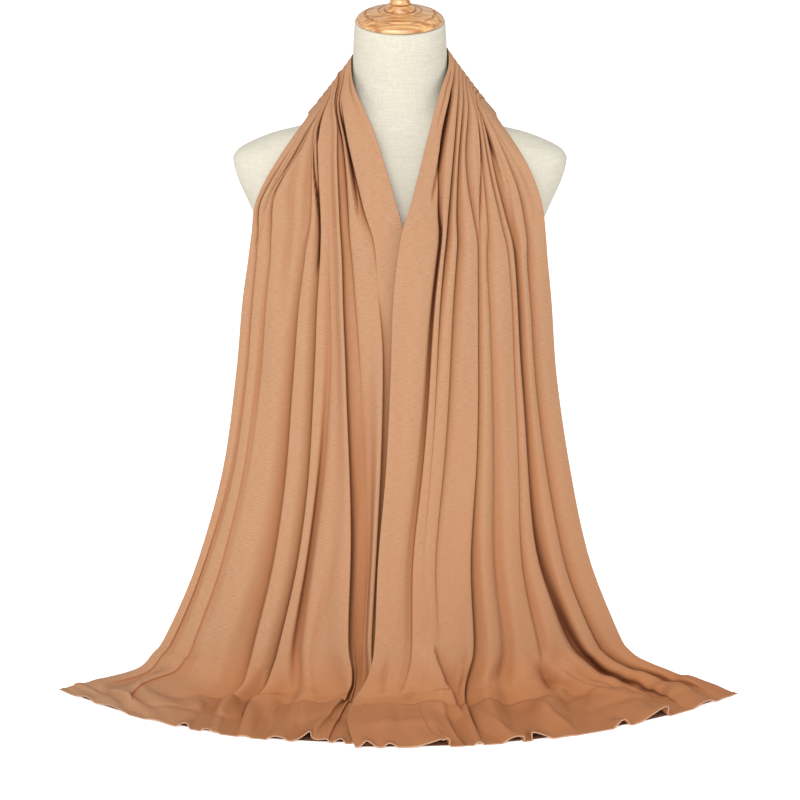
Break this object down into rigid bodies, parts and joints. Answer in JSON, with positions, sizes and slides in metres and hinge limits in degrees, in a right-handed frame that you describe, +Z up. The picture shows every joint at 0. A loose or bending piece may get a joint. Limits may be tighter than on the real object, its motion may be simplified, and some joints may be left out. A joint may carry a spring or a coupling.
{
  "type": "hijab headscarf on dress form",
  "caption": "Long jersey headscarf hung round the neck of a limbless linen dress form, its gathered ends falling in front and trailing on the surface.",
  "frame": {"origin": "centre of the dress form's flat underside, on the surface that it stands on", "axes": "+Z up through the form, -Y towards the front where the scarf ends fall, +X to the viewer's right"},
  "size_m": [0.7874, 0.395, 0.8286],
  "materials": {
    "jersey": "matte knit",
    "linen": "matte woven",
    "wood": "varnished"
  },
  "bodies": {
    "root": {"scarf_left_end": "jersey", "scarf_right_end": "jersey", "scarf_neck_band": "jersey", "form_torso": "linen", "neck_cap": "wood", "finial": "wood"}
  },
  "joints": []
}
